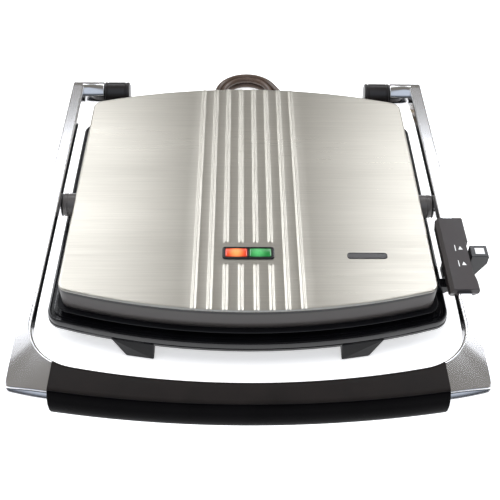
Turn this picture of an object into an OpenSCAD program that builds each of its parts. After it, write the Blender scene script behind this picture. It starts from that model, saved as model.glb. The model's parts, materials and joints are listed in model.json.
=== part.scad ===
/* [Lid] */
// Half of the lid's width across its side edges
lid_half = 160; // [150:1:161]
// Distance from the origin line to the middle of the lid's front edge
lid_front = 107; // [100:0.5:107]
// Distance from the origin line to the middle of the lid's back edge
lid_back = 198; // [190:1:198]
// Radius of the bowed front and back edges, seen from above
edge_r = 550; // [520:10:700]
// Radius of the lid's corners, seen from above
lid_corner = 11; // [8:1:16]
// Height of the flat top of the lid's cover
lid_top = 61; // [60:0.5:62]
// Height of the lower edge of the cover's skirt
skirt_low = 38; // [37.8:0.1:38.4]
// Distance between neighbouring ribs
rib_pitch = 13; // [11:0.5:14]
// Height of a rib above the cover
rib_rise = 0.8; // [0.8:0.1:2]

/* [Base] */
// Height of the base's rim
rim_top = 29; // [28:0.5:29]
// Height of the base's lower outer edge
rim_low = 19; // [18:0.5:20]
// How far the base stands out beyond the lid at the sides
base_side = 14; // [12:1:14]
// How far the base stands out beyond the lid at the front
base_fore = 10; // [8:0.5:12]
// How far the base stands out beyond the lid at the back
base_aft = 6; // [4:1:8]

/* [Handle frame] */
// Distance from the middle to the outer faces of the arms
arm_out = 184.5; // [184:0.5:186]
// Distance from the middle to the inner faces of the arms
arm_in = 172.5; // [172.5:0.1:173.5]
// Height of the top of the arms
arm_top = 68; // [67:0.5:69]
// Distance from the origin line to the middle of the grip's front
grip_front = 205; // [200:1:210]
// Width of the grip from its inner edge to its front, in the middle
grip_w = 25; // [22:1:26]

/* [Pivots and latch] */
// Distance from the origin line back to the arms' hinge axis
hinge_y = 196; // [196:0.5:198]
// Height of the arms' hinge axis
hinge_z = 57; // [56.5:0.5:58]
// Distance from the origin line back to the axis that the lid floats on
float_y = 31; // [25:1:40]
// Height of the axis that the lid floats on
float_z = 48.5; // [48.5:0.1:49]
// Travel of the latch towards the front
latch_travel = 17; // [15:0.5:17]

/* [Hidden] */
$fn = 40;
gap = 0.3;
arc_steps = 9;
corner_steps = 5;

// The knob stands out beyond the right arm, so the frame is shifted by half of that
knob_out = 206.5;
mid_x = -(knob_out - arm_out) / 2;

// Cover and frame of the lid
sheet = 1;
frame_low = 36.5;
frame_wall = 2.8;
boss_r = 10.8;
boss_end = 172;
window = [44, 12.4];
window_y = -42;

// Base shell and the plates
deck = 3;
wall = 3;
belly_low = 6;
belly_in = 11;
belly_aft = 10;
foot_top = 1.2;
plate_in = 8.3;
pocket_in = 11.5;
ridge_pitch = 10;
ridge_h = 3;

// Hinge
barrel = [125, 151];
barrel_r = 10.8;
collar_r = 11;
pin_r = 4;
bush_r = 6;
running = 0.05;

// Grip
grip_low = 42;
grip_split = 64;
grip_top = 69.5;
front_r = 956;
inner_r = 667;
inner_corner = 46;
core = [[-158, -190, 51], [158, -184, 61]];
grip_screw_x = 90;

// Latch housing on the right arm, and the slider inside it
shell = [[167, -91, 49.5], [191, -7, 71]];
rail_z = [51.4, 55.6];
knob_y = [-53, -40];
leg = [[176, -32.5], [183, -27]];
toe_y = -41;
toe_z = [25, 30.5];

// Mains cord: diameter, the stretch from the gland to the coil, and from the coil to the plug
cord_d = 6.5;
coil_at = [0, 260];
coil_r = 34;
lead = [[-34, 192, 15.3], [-34, 200, 12.4], [-34, 208, 9.5], [-34, 216, 6.6], [-34, 222, 4.8],
    [-34, 229, 3.6], [-34, 236, 3.25], [-34, 243, 3.25], [-34, 250, 3.25]];
tail = [[35.4, 266.6, 9.75], [41.4, 256.2, 9.75], [47.4, 245.8, 8.2], [53, 236.9, 5.6],
    [59.4, 229.4, 4], [66, 225.1, 3.4], [73.7, 222.7, 3.25], [82, 222, 3.25], [90, 222, 3.7],
    [98, 222, 5.6], [105, 222, 8.1], [111, 222, 9.6], [117, 222, 10], [124, 222, 10]];
gland_tilt = 20;
gland_l = 26;
gland_r = [6.2, 4.4];
plug = [[122, 207, 0], [158, 237, 20]];

// Right half of a plan outline with bowed ends and round corners, from its front middle to its
// back middle
function half_plan(half, front, back, r, corner) =
    let (a = asin((half - corner) / (r - corner)),
        reach = (r - corner) * cos(a))
    concat(
        [for (i = [0:arc_steps - 1]) let (t = a * i / arc_steps)
            [r * sin(t), front + r - r * cos(t)]],
        [for (i = [0:corner_steps]) let (t = a + (90 - a) * i / corner_steps)
            [half - corner + corner * sin(t), front + r - reach - corner * cos(t)]],
        [for (i = [corner_steps:-1:0]) let (t = a + (90 - a) * i / corner_steps)
            [half - corner + corner * sin(t), back - r + reach + corner * cos(t)]],
        [for (i = [arc_steps - 1:-1:0]) let (t = a * i / arc_steps)
            [r * sin(t), back - r + r * cos(t)]]);

function both_sides(h) = concat(h, [for (i = [len(h) - 2:-1:1]) [-h[i][0], h[i][1]]]);

function beyond_lid(side, fore, aft) =
    both_sides(half_plan(lid_half + side, -lid_front - fore, lid_back + aft, edge_r + fore,
        max(3, lid_corner + 0.4 * fore)));

// Y of the bowed front or back edge of the lid's outline at a distance x from the middle
function front_at(x, fore) = -lid_front - fore + (edge_r + fore) - sqrt(pow(edge_r + fore, 2) - x * x);
function back_at(x, aft) = lid_back + aft - (edge_r + aft) + sqrt(pow(edge_r + aft, 2) - x * x);

module in_frame() translate([mid_x, 0, 0]) children();

module slab(side, fore, aft, low, high)
    translate([0, 0, low]) linear_extrude(high - low) polygon(beyond_lid(side, fore, aft));

module block(a, b) translate(a) cube(b - a);

module both() for (s = [0, 1]) mirror([s, 0, 0]) children();

// Cylinder along X from x0 to x1 about the axis at y, z
module rod(x0, x1, y, z, r) translate([x0, y, z]) rotate([0, 90, 0]) cylinder(r = r, h = x1 - x0);

// Outline in the YZ plane, extruded along X
module side_view(points, x0, x1)
    translate([x0, 0, 0]) rotate([90, 0, 90]) linear_extrude(x1 - x0) polygon(points);

// Outline in the XZ plane, extruded along Y
module front_view(points, y0, y1)
    translate([0, y1, 0]) rotate([90, 0, 0]) linear_extrude(y1 - y0) polygon(points);

module foot_lug() {
    intersection() {
        front_view([[80, rim_low], [115, rim_low], [105.5, foot_top], [81, foot_top]], -120, -95);
        slab(base_side, base_fore, base_aft, foot_top, rim_low);
    }
    front_view([[98, rim_low], [128, rim_low], [124, foot_top], [102, foot_top]], 171, 184);
}

module base_screw_places() for (y = [-62, 40, 140]) both() translate([156, y, 0]) children();

// The base's shell: a rim, a narrower belly under it, the lugs it stands on and the two towers
// that hold the hinge
module base_housing() in_frame() color([0.05, 0.05, 0.05]) {
    difference() {
        union() {
            difference() {
                union() {
                    slab(base_side, base_fore, base_aft, rim_low, rim_top);
                    slab(base_side - belly_in, base_fore - belly_in, base_aft - belly_aft,
                        belly_low, rim_low + 1);
                }
                slab(base_side - wall, base_fore - wall, base_aft - wall,
                    rim_low + 2.5, rim_top - deck);
                slab(base_side - belly_in - wall, base_fore - belly_in - wall,
                    base_aft - belly_aft - wall, belly_low - 1, rim_top - deck);
                slab(-8, -8, -8, rim_top - deck - 1, rim_top + 1);
            }
            both() foot_lug();
            both() {
                side_view([[178, rim_low], [hinge_y + barrel_r, rim_low],
                    [hinge_y + barrel_r, hinge_z], [hinge_y - barrel_r, hinge_z], [187, 42],
                    [184.5, rim_top], [178, rim_top]], barrel[0], barrel[1]);
                rod(barrel[0], barrel[1], hinge_y, hinge_z, barrel_r);
            }
            base_screw_places() translate([0, 0, 9]) cylinder(r = 4.6, h = 12);
        }
        both() rod(barrel[0] + 2, barrel[1] + 1, hinge_y, hinge_z, pin_r);
        base_screw_places() cylinder(r = 1.8, h = 18);
        translate([lead[0][0], lead[0][1] - 6, lead[0][2] + 6 * tan(gland_tilt)])
            rotate([-90 - gland_tilt, 0, 0]) cylinder(r = gland_r[0], h = 20);
    }
}

module bottom_cover() in_frame() color([0.08, 0.08, 0.08]) difference() {
    slab(base_side - belly_in - wall - gap, base_fore - belly_in - wall - gap,
        base_aft - belly_aft - wall - gap, belly_low, 8.6);
    both() translate([0, 0, -1]) {
        block([79.4, -110, 0], [116, -94.6, 12]);
        block([97, 170.6, 0], [129, 190, 12]);
    }
    base_screw_places() translate([0, 0, 5]) cylinder(r = 2.2, h = 5);
    for (x = [-60:15:60]) block([x - 2, 20, 5], [x + 2, 80, 10]);
}

module rubber_feet() in_frame() color([0.1, 0.1, 0.1]) both() {
    block([87, -106.5, 0], [105, -96.5, foot_top]);
    block([104, 172.5, 0], [122, 182.5, foot_top]);
}

module base_screws() in_frame() color([0.6, 0.6, 0.62]) base_screw_places() {
    translate([0, 0, 4.4]) cylinder(r = 3.4, h = 1.6);
    translate([0, 0, 6]) cylinder(r = 1.8, h = 10);
}

// Rows of ridges that run from front to back, as long as the bowed plate lets them be
module ridges(low, high) {
    tip = 1.2;
    foot = 2.6;
    for (i = [-13:13]) {
        x = i * ridge_pitch;
        front_view([[x - foot, low], [x + foot, low], [x + tip, high], [x - tip, high]],
            front_at(x, -20), back_at(x, -20));
    }
}

module lower_grill_plate() in_frame() color([0.12, 0.12, 0.13]) {
    difference() {
        union() {
            slab(-5, -5, -5, rim_top, rim_top + 1.5);
            slab(-plate_in, -plate_in, -plate_in, rim_top - 5, rim_top);
        }
        slab(-pocket_in, -pocket_in, -pocket_in, rim_top - 1.5, rim_top + 2);
    }
    ridges(rim_top - 1.6, rim_top - 1.5 + ridge_h);
}

module upper_grill_plate() in_frame() color([0.12, 0.12, 0.13]) {
    difference() {
        union() {
            slab(-5, -5, -5, skirt_low, skirt_low + 5);
            slab(-plate_in, -plate_in, -plate_in, frame_low, skirt_low);
        }
        slab(-pocket_in, -pocket_in, -pocket_in, frame_low - 1, frame_low + ridge_h);
    }
    mirror([0, 0, 1]) ridges(-frame_low - ridge_h - 0.1, -frame_low);
}

// Tubular element: a long U with its two ends towards the back
module element(z) {
    r = 3.2;
    half = 82;
    front = -10;
    for (x = [-half, half]) translate([x, front, z]) rotate([-90, 0, 0]) cylinder(r = r, h = 150);
    translate([0, front, z]) rotate([0, 0, 180]) rotate_extrude(angle = 180)
        translate([half, 0]) circle(r);
}

module lower_heating_element() in_frame() color([0.35, 0.33, 0.32]) element(20.7);
module upper_heating_element() in_frame() color([0.35, 0.33, 0.32]) element(skirt_low + 8.3);

module lower_heat_reflector() in_frame() color([0.75, 0.75, 0.77]) difference() {
    slab(-12, -12, -18, 12, 14.5);
    slab(-13, -13, -19, 12.8, 15);
}

module upper_heat_reflector() in_frame() color([0.75, 0.75, 0.77]) difference() {
    slab(-12, -12, -12, 50.2, 53);
    slab(-13, -13, -13, 49, 52.2);
}

module thermostat(low) {
    translate([0, 60, low]) cylinder(r = 8, h = 2);
    block([-11, 53, low + 2], [11, 67, low + 6]);
}

module lower_thermostat() in_frame() color([0.85, 0.83, 0.75])
    translate([0, 0, 38]) mirror([0, 0, 1]) thermostat(14.1);
module upper_thermostat() in_frame() color([0.85, 0.83, 0.75]) thermostat(skirt_low + 5);

module thermal_fuse() in_frame() color([0.8, 0.8, 0.78]) rod(24, 44, 60, 20, 2.4);

module terminal_block() in_frame() color([0.9, 0.9, 0.86]) difference() {
    block([-20, 173, 15], [20, 183, 24]);
    for (x = [-13, 0, 13]) translate([x, 178, 16]) cylinder(r = 1.8, h = 10);
}

module hinge_pins() in_frame() color([0.7, 0.7, 0.72]) both()
    rod(barrel[0] + 2, arm_in - 0.5, hinge_y, hinge_z, pin_r);

// Stands on the rim at the right and reaches out under the latch
module latch_keeper() in_frame() color([0.06, 0.06, 0.06])
    front_view([[168, rim_top], [173.5, rim_top], [176, 31], [183, 31], [183, 38], [168, 38]],
        -60, -50);

module cord_gland() in_frame() color([0.06, 0.06, 0.06])
    translate([lead[0][0], lead[0][1] - 3, lead[0][2] + 3 * tan(gland_tilt)])
        rotate([-90 - gland_tilt, 0, 0]) difference() {
            union() {
                cylinder(r = gland_r[0], h = 7);
                translate([0, 0, 7]) cylinder(r1 = gland_r[0] - 0.6, r2 = gland_r[1],
                    h = gland_l - 7);
            }
            translate([0, 0, -1]) cylinder(r = cord_d / 2, h = gland_l + 2);
        }

// Unit vector along a route at its point i
function heading(p, i) =
    let (d = p[min(i + 1, len(p) - 1)] - p[max(i - 1, 0)]) d / norm(d);

// One closed tube swept along a route
module tube(p, r, sides) {
    rings = [for (i = [0:len(p) - 1])
        let (t = heading(p, i), s = cross(t, [0, 0, 1]), side = s / norm(s), up = cross(side, t))
        for (k = [0:sides - 1]) p[i] + r * (cos(360 * k / sides) * side + sin(360 * k / sides) * up)];
    n = len(p);
    polyhedron(rings, concat(
        [[for (k = [0:sides - 1]) k]],
        [for (i = [0:n - 2], k = [0:sides - 1])
            let (a = i * sides + k, b = i * sides + (k + 1) % sides) [a, a + sides, b + sides, b]],
        [[for (k = [sides - 1:-1:0]) (n - 1) * sides + k]]));
}

module cord_lead() in_frame() color([0.06, 0.05, 0.05]) tube(lead, cord_d / 2, 10);

module cord_tail() in_frame() color([0.06, 0.05, 0.05]) tube(tail, cord_d / 2, 10);

// Outer shape of the coil: two turns side by side, two high
module cord_coil() in_frame() color([0.06, 0.05, 0.05])
    translate([coil_at[0], coil_at[1], 0]) rotate_extrude($fn = 64)
        translate([coil_r - 1.5 * cord_d, 0]) square(2 * cord_d);

module plug_body() in_frame() color([0.05, 0.05, 0.05]) difference() {
    union() {
        block(plug[0], plug[1]);
        rod(plug[0][0] - 7, plug[0][0], 222, 10, 5);
    }
    rod(plug[0][0] - 8, 124, 222, 10, cord_d / 2 + 0.3);
}

module plug_pins() in_frame() color([0.75, 0.7, 0.5]) {
    for (y = [-7, 7]) translate([plug[1][0], 222 + y, 10])
        rotate([y > 0 ? 30 : -30, 0, 0]) translate([0, -0.8, -3.2]) cube([17, 1.6, 6.4]);
    block([plug[1][0], 218.8, 2.4], [plug[1][0] + 17, 225.2, 4]);
}

// Plan of the whole handle frame: two arms and the grip between them
module handle_plan() difference() {
    polygon(both_sides(half_plan(arm_out, -grip_front, 400, front_r, 5)));
    polygon(both_sides(half_plan(arm_in, -grip_front + grip_w, 450, inner_r, inner_corner)));
}

// The right arm: its plan cut by its side view, with the hinge collar and the float pivot's lug
module arm() {
    bottom = arm_top - 12;
    difference() {
        union() {
            intersection() {
                translate([0, 0, 40]) linear_extrude(40) intersection() {
                    handle_plan();
                    polygon([[147.2, -150], [151.4, -210], [220, -210], [220, 300], [147.2, 300]]);
                }
                side_view([[hinge_y, arm_top], [hinge_y, hinge_z - collar_r], [hinge_y - 14, 49],
                    [hinge_y - 40, 54], [110, bottom], [-96, bottom], [-130, 53], [-160, 48.5],
                    [-182, 45], [-196, 45], [-196, 62], [-186, 66], [-170, arm_top]], 140, 190);
            }
            rod(barrel[1] + 0.4, arm_out, hinge_y, hinge_z, collar_r);
            rod(arm_in, arm_out, float_y, float_z, boss_r);
        }
        rod(barrel[1], arm_in, hinge_y, hinge_z, bush_r);
        rod(arm_in - 1, 181, float_y, float_z, pin_r);
        block([140, core[0][1], core[0][2]], core[1]);
    }
}

module right_arm() in_frame() color([0.78, 0.78, 0.8]) arm();
module left_arm() in_frame() color([0.78, 0.78, 0.8]) mirror([1, 0, 0]) arm();

module hinge_bushes() in_frame() color([0.85, 0.82, 0.7]) both() difference() {
    rod(barrel[1] + 0.4, arm_in, hinge_y, hinge_z, bush_r);
    rod(barrel[1], arm_in + 1, hinge_y, hinge_z, pin_r + running);
}

module float_pins() in_frame() color([0.7, 0.7, 0.72]) both()
    rod(lid_half - sheet - frame_wall + 0.5, 181, float_y, float_z, pin_r);

module grip_plan() intersection() {
    handle_plan();
    polygon([[-147, -150], [-151.2, -210], [151.2, -210], [147, -150]]);
}

module grip_upper() in_frame() color([0.1, 0.09, 0.09])
    translate([0, 0, grip_split]) linear_extrude(grip_top - grip_split) grip_plan();

module grip_lower() in_frame() color([0.06, 0.06, 0.06]) difference() {
    translate([0, 0, grip_low]) linear_extrude(grip_split - grip_low) grip_plan();
    block([core[0][0] - 1, core[0][1], core[0][2]], [core[1][0] + 1, core[1][1], grip_split + 1]);
    both() translate([grip_screw_x, -187, 0]) {
        cylinder(r = 3.8, h = 48.5);
        cylinder(r = 2.2, h = 60);
    }
}

module grip_core() in_frame() color([0.6, 0.6, 0.62]) difference() {
    block(core[0], core[1]);
    both() translate([grip_screw_x, -187, 40]) cylinder(r = 2, h = 30);
}

module grip_screws() in_frame() color([0.6, 0.6, 0.62]) both() translate([grip_screw_x, -187, 0]) {
    translate([0, 0, 46.4]) cylinder(r = 3.4, h = 2.1);
    translate([0, 0, 48.5]) cylinder(r = 2, h = 12);
}

// A sleeve round the right arm, with a channel under the arm for the latch's slider. Its front end
// and inner side lean in towards the bottom, and its outer side steps in beside the knob
module latch_housing() in_frame() color([0.07, 0.07, 0.07]) difference() {
    intersection() {
        front_view([[171.5, shell[0][2]], [168.5, arm_top - 12], [shell[0][0], 67],
            [shell[0][0] + 2.5, shell[1][2]], [shell[1][0] - 1, shell[1][2]],
            [shell[1][0], shell[1][2] - 1],
            [shell[1][0], shell[0][2]]], shell[0][1], shell[1][1]);
        side_view([[-80, shell[0][2]], [shell[0][1], 66], [shell[0][1], shell[1][2]],
            [shell[1][1], shell[1][2]], [shell[1][1], shell[0][2]]], shell[0][0], shell[1][0]);
    }
    block([arm_in, shell[0][1] - 1, arm_top - 12], [arm_out, shell[1][1] + 1, arm_top]);
    block([173.5, -77, 51], [shell[1][0] - 2, -12, arm_top - 12]);
    translate([0, 0, arm_top - 12]) linear_extrude(20) polygon([[188.6, knob_y[1] + 3],
        [shell[1][0] + 1, knob_y[1] + 5], [shell[1][0] + 1, -86], [188.6, -72]]);
    block([shell[1][0] - 3, knob_y[0] - latch_travel - 1, 51],
        [shell[1][0] + 1, knob_y[1] + 1, arm_top - 12]);
    block([leg[0][0] - 0.5, leg[0][1] - latch_travel - 1, shell[0][2] - 1],
        [leg[1][0] + 0.5, leg[1][1] + 1, 52]);
}

// A carriage in the channel, a hook below it and a thumb knob outside
module latch_slider() in_frame() color([0.05, 0.05, 0.05]) {
    block([175, -56, rail_z[0]], [188.4, -20, rail_z[1]]);
    block([188, knob_y[0], rail_z[0]], [192, knob_y[1], rail_z[1]]);
    block([leg[0][0], leg[0][1], toe_z[0]], [leg[1][0], leg[1][1], rail_z[0] + 1]);
    block([leg[0][0], toe_y, toe_z[0]], [leg[1][0], leg[0][1] + 1, toe_z[1]]);
    front_view([[191.4, 38], [194.5, 38], [204, 56], [knob_out, 61], [knob_out, 69],
        [knob_out - 1, 70], [191.4, 70]], knob_y[0], knob_y[1]);
}

module latch_marker() in_frame() color([0.95, 0.95, 0.95])
    block([195, -50.5, 70], [203, -43.5, 70.6]);

module ribs() intersection() {
    slab(0, 0, 0, lid_top - 0.8, lid_top + 5);
    for (i = [0:7]) {
        r = (9 + rib_rise * rib_rise) / (2 * rib_rise);
        translate([(i - 3.5) * rib_pitch, -130, lid_top + rib_rise - r])
            rotate([-90, 0, 0]) cylinder(r = r, h = 340);
    }
}

// Steel cover: a shallow tray upside down, with raised ribs and a window for the indicators
module lid_cover() in_frame() color([0.72, 0.71, 0.69]) difference() {
    union() {
        slab(0, 0, 0, skirt_low, lid_top);
        difference() {
            ribs();
            block([-26, window_y - 13.5, lid_top], [26, window_y + 13.5, lid_top + 5]);
        }
    }
    slab(-sheet, -sheet, -sheet, skirt_low - 1, lid_top - sheet);
    block([-window[0] / 2, window_y - window[1] / 2, lid_top - 3],
        [window[0] / 2, window_y + window[1] / 2, lid_top + 5]);
    both() rod(lid_half - 6, lid_half + 1, float_y, float_z, boss_r + 0.2);
}

// Black plastic frame inside the cover: it holds the upper plate and the float pivot's bosses
module lid_frame() in_frame() color([0.06, 0.06, 0.06]) {
    skin = -sheet - 0.2;
    difference() {
        union() {
            slab(skin, skin, skin, skirt_low, 57);
            slab(4, 4, -1, frame_low, skirt_low);
            both() rod(lid_half - sheet - frame_wall, boss_end, float_y, float_z, boss_r);
        }
        slab(skin - frame_wall, skin - frame_wall, skin - frame_wall, skirt_low, 58);
        slab(-8, -8, -8, frame_low - 1, skirt_low + 1);
        both() rod(lid_half - 20, boss_end + 1, float_y, float_z, pin_r + running);
        lid_screw_places() cylinder(r = 1.1, h = 60);
    }
}

module lid_screw_places() both() for (y = [-58, 150]) translate([lid_half - 2.6, y, 0]) children();

module lid_screws() in_frame() color([0.6, 0.6, 0.62]) lid_screw_places() {
    translate([0, 0, 35.3]) cylinder(r = 3, h = 1.2);
    translate([0, 0, 36.5]) cylinder(r = 1.1, h = 12);
}

module indicator_bezel() in_frame() color([0.08, 0.08, 0.08])
    translate([0, window_y, 0]) difference() {
        union() {
            block([-22.75, -7, lid_top], [22.75, 7, lid_top + 2]);
            block([-window[0] / 2, -window[1] / 2, lid_top - 4],
                [window[0] / 2, window[1] / 2, lid_top]);
        }
        for (x = [-10.5, 10.5]) block([x - 9.75, -5, lid_top - 5], [x + 9.75, 5, lid_top + 3]);
    }

module lens(x) translate([x, window_y, 0]) block([-9.75, -5, lid_top - 2], [9.75, 5, lid_top + 1.6]);
module power_lens() in_frame() color([0.85, 0.12, 0.05]) lens(-10.5);
module ready_lens() in_frame() color([0.05, 0.55, 0.2]) lens(10.5);

module indicator_lamps() in_frame() color([0.9, 0.6, 0.4])
    for (x = [-10.5, 10.5]) rod(x - 6, x + 6, window_y, lid_top - 4.4, 2.2);

module badge_plate() in_frame() color([0.2, 0.2, 0.21]) {
    translate([0, 0, lid_top]) linear_extrude(0.6) {
        translate([89.5, -48]) square([28, 7]);
        for (x = [89.5, 117.5]) translate([x, -44.5]) circle(3.5);
    }
}

base_housing();
bottom_cover();
rubber_feet();
base_screws();
lower_grill_plate();
lower_heating_element();
lower_heat_reflector();
lower_thermostat();
thermal_fuse();
terminal_block();
hinge_pins();
latch_keeper();
cord_gland();
cord_lead();
cord_coil();
cord_tail();
plug_body();
plug_pins();
left_arm();
right_arm();
hinge_bushes();
float_pins();
grip_upper();
grip_lower();
grip_core();
grip_screws();
latch_housing();
latch_slider();
latch_marker();
lid_cover();
lid_frame();
lid_screws();
upper_grill_plate();
upper_heating_element();
upper_heat_reflector();
upper_thermostat();
indicator_bezel();
power_lens();
ready_lens();
indicator_lamps();
badge_plate();
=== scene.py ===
import json
import math

import bmesh
import bpy
import numpy as np
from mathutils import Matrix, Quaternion, Vector

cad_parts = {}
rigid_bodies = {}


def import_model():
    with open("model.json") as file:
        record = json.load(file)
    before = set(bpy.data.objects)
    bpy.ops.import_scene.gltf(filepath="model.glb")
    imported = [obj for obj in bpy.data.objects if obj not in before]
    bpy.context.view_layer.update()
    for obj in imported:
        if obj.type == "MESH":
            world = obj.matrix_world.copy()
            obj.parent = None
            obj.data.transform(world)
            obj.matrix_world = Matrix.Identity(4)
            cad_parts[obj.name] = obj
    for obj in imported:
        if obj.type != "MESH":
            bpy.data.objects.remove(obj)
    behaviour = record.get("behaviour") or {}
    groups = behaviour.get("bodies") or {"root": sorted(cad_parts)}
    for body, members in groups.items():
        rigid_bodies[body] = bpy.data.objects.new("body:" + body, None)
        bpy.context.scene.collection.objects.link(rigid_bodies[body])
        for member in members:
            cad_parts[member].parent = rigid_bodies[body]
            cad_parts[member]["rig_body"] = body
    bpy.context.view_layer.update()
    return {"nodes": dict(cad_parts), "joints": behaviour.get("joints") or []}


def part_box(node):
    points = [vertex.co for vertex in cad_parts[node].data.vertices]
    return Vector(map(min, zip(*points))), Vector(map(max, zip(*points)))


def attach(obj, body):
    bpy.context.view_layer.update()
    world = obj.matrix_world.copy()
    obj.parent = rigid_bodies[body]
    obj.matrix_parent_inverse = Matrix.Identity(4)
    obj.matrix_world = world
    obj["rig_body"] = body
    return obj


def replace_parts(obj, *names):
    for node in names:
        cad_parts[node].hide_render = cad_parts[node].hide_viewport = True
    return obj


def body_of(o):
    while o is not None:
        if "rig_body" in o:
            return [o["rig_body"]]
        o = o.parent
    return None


bl_info = {
    "name": "Panini press",
    "version": (1, 0, 0),
    "blender": (4, 5, 0),
    "location": "3D View > Sidebar > Panini press",
    "description": "Builds the skin and finishes of a panini press round its packed frame",
    "category": "Add Mesh",
}

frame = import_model()

# Shapes are worked out in millimetres about the press's own plane of symmetry. put() moves them
# into the frame, in metres.
MM = 0.001
MID_X = (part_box("lid_cover")[0][0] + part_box("lid_cover")[1][0]) / 2 / MM


def extent(node):
    """Lowest and highest corner of a node, in millimetres about the plane of symmetry."""
    return [np.array(corner, float) / MM - [MID_X, 0, 0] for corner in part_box(node)]


JOINTS = {joint["name"]: joint for joint in frame["joints"]}
HINGE_Y, HINGE_Z = (JOINTS["arm_hinge"]["pos_m"][i] / MM for i in (1, 2))
FLOAT_Y, FLOAT_Z = (JOINTS["lid_float"]["pos_m"][i] / MM for i in (1, 2))

# Lid
LID_LOW, LID_HIGH = extent("lid_cover")
LID_HALF = LID_HIGH[0]
LID_FRONT, LID_BACK = LID_LOW[1], LID_HIGH[1]
LID_TOP = extent("badge_plate")[0][2]
SKIRT_LOW = LID_LOW[2]
EDGE_R = 550
LID_CORNER = 11
EDGE_ROUND = 1.6
WINDOW_Y = -42
# Where columns of the cover stand beside a rib's middle, for a rib with a foot of ROWS_FOOT
ROWS_FOOT = 3.3
RIB_ROWS = (0.02, 0.3, 0.6, 0.9, 1.2, 1.5, 1.8, 2.1, 2.4, 2.7, 3.0, 3.4)
STOP_EASE = 1.6

# Base
BASE_LOW, BASE_HIGH = extent("base_housing")
RIM_LOW = 19
RIM_TOP = extent("latch_keeper")[0][2]
BELLY_LOW = extent("bottom_cover")[0][2]
RIM_REACH = np.array([BASE_HIGH[0] - LID_HALF, LID_FRONT - BASE_LOW[1], 6])
BELLY_IN = np.array([11, 11, 10])
WALL = 3
BARREL = (125, 151)
BARREL_R = 10.8

# Handle frame
ARM_OUT = extent("right_arm")[1][0]
ARM_IN = extent("hinge_bushes")[1][0]
ARM_TOP = extent("right_arm")[1][2]
ARM_DEEP = 12
COLLAR_R = ARM_TOP - HINGE_Z
GRIP_FRONT = extent("grip_upper")[0][1]
GRIP_W = 25
GRIP_LOW, GRIP_SPLIT = extent("grip_lower")[0][2], extent("grip_upper")[0][2]
GRIP_TOP = extent("grip_upper")[1][2]
FRONT_R, FRONT_CORNER = 956, 5
INNER_R, INNER_CORNER = 667, 46
JOINT_X = 150.4

# Marks printed on the latch: where the triangles and the bars stand
MARKS_Y = (-44, -62)
ARROW_X, BAR_X = 182.6, 178.2

# Mains cord, as the route that its solids follow
CORD_D = 6.5
COIL_AT = (0, 260)
COIL_R = 34
LEAD = [(-34, 192, 15.3), (-34, 200, 12.4), (-34, 208, 9.5), (-34, 216, 6.6), (-34, 222, 4.8),
        (-34, 229, 3.6), (-34, 236, 3.25), (-34, 243, 3.25), (-34, 250, 3.25)]
TAIL = [(35.4, 266.6, 9.75), (41.4, 256.2, 9.75), (47.4, 245.8, 8.2), (53, 236.9, 5.6),
        (59.4, 229.4, 4), (66, 225.1, 3.4), (73.7, 222.7, 3.25), (82, 222, 3.25), (90, 222, 3.7),
        (98, 222, 5.6), (105, 222, 8.1), (111, 222, 9.6), (117, 222, 10), (124, 222, 10)]
GLAND_TILT = math.radians(20)


# ---------------------------------------------------------------- shapes

def ease(low, high, value):
    """Smooth step: 0 at low, 1 at high, and 3t^2 - 2t^3 between them."""
    t = np.clip((value - low) / (high - low), 0, 1)
    return t * t * (3 - 2 * t)


def swing(start, end, value):
    """Half a cosine wave that rises from 0 at start to 1 at end."""
    return (1 - np.cos(np.pi * np.clip((value - start) / (end - start), 0, 1))) / 2


def mirrored(points):
    """The same points on the other side of the plane of symmetry."""
    return np.asarray(points) * [-1, 1, 1]


def soft_corners(points, reach, steps=4):
    """Closed outline whose corners are quadratic curves. Each starts and ends at a distance of
    reach from its corner, which is the curve's control point."""
    p = np.asarray(points, float)

    def toward(other):
        away = other - p
        far = np.linalg.norm(away, axis=1, keepdims=True)
        return p + away / far * np.minimum(reach, 0.45 * far)

    a, b = toward(np.roll(p, 1, 0)), toward(np.roll(p, -1, 0))
    t = np.linspace(0, 1, steps + 1)[None, :, None]
    curve = (1 - t) ** 2 * a[:, None] + 2 * t * (1 - t) * p[:, None] + t * t * b[:, None]
    return curve.reshape(-1, 2)


def grown(outline, by):
    """Closed outline moved outwards. Each point goes along the mean of the normals of its two
    edges, lengthened so that the edges stay parallel."""
    edge = np.roll(outline, -1, 0) - outline
    normal = np.stack([edge[:, 1], -edge[:, 0]], 1) / np.linalg.norm(edge, axis=1, keepdims=True)
    after = np.roll(outline, -1, 0)
    if np.sum(outline[:, 0] * after[:, 1] - after[:, 0] * outline[:, 1]) < 0:
        normal = -normal
    before = np.roll(normal, 1, 0)
    return outline + by * (normal + before) / (1 + np.sum(normal * before, 1, keepdims=True))


def prism(outline, low, high, edge, axes, steps=3):
    """Outline carried from low to high along an axis. Both ends have quarter-round edges, so a
    loop at angle t is set in by edge (1 - sin t) and lies edge (1 - cos t) from the end. axes
    names the coordinates of the outline's two columns and of the run."""
    t = np.linspace(0, np.pi / 2, steps + 1)
    inset = edge * (1 - np.sin(t))
    run = edge * (1 - np.cos(t))
    place = np.concatenate([low + run, high - run[::-1]])
    loops = np.stack([grown(outline, -i) for i in np.concatenate([inset, inset[::-1]])])
    rows = np.empty(loops.shape[:2] + (3,))
    rows[..., axes[:2]] = loops
    rows[..., axes[2]] = place[:, None]
    return rows


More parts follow.
